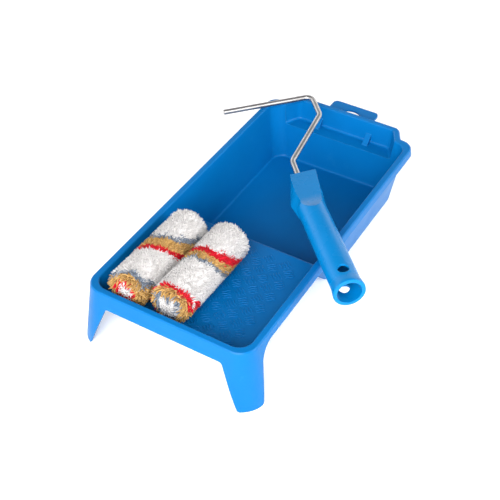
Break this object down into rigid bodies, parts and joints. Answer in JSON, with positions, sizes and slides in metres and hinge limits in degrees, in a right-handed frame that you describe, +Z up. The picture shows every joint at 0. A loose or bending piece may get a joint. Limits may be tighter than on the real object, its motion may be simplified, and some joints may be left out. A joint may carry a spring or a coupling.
{
  "type": "mini paint roller set",
  "caption": "Small moulded paint tray with ramp, deep well and legs, holding striped plush roller sleeves and a wire roller frame with a plastic handle.",
  "frame": {"origin": "middle of the face that the tray's well stands on, on the ground", "axes": "+Y from the tray's shallow end to its deep end, +Z up, +X to the side that the handle hangs over"},
  "size_m": [0.2253, 0.3391, 0.0863],
  "materials": {
    "tray_plastic": "satin moulded polypropylene",
    "handle_plastic": "satin moulded polypropylene",
    "wire_steel": "bright plated wire",
    "pile": "deep woven pile, white with coloured stripes",
    "core_plastic": "matt",
    "cap_plastic": "matt",
    "retainer_plastic": "matt"
  },
  "bodies": {
    "tray": {"tray": "tray_plastic"},
    "roller_frame": {"handle": "handle_plastic", "wire_frame": "wire_steel"},
    "left_retainer": {"left_retainer": "retainer_plastic"},
    "left_sleeve": {"left_pile_cover": "pile", "left_core_tube": "core_plastic", "left_end_plug": "cap_plastic", "left_mouth_bush": "cap_plastic"},
    "right_retainer": {"right_retainer": "retainer_plastic"},
    "right_sleeve": {"right_pile_cover": "pile", "right_core_tube": "core_plastic", "right_end_plug": "cap_plastic", "right_mouth_bush": "cap_plastic"}
  },
  "joints": [
    {"name": "roller_frame_lift", "type": "slide", "parent": "tray", "child": "roller_frame", "axis": [0, 0, 1], "range_m": [0, 0.1]},
    {"name": "left_sleeve_lift", "type": "slide", "parent": "tray", "child": "left_retainer", "axis": [0, 0, 1], "range_m": [0, 0.08]},
    {"name": "left_sleeve_spin", "type": "hinge", "parent": "left_retainer", "child": "left_sleeve", "pos_m": [-0.0423, -0.16284, 0.05574], "axis": [0, 0.9993, -0.0385], "continuous": true},
    {"name": "right_sleeve_lift", "type": "slide", "parent": "tray", "child": "right_retainer", "axis": [0, 0, 1], "range_m": [0, 0.08]},
    {"name": "right_sleeve_spin", "type": "hinge", "parent": "right_retainer", "child": "right_sleeve", "pos_m": [-0.0049, -0.15874, 0.05559], "axis": [0, 0.9993, -0.0385], "continuous": true}
  ]
}
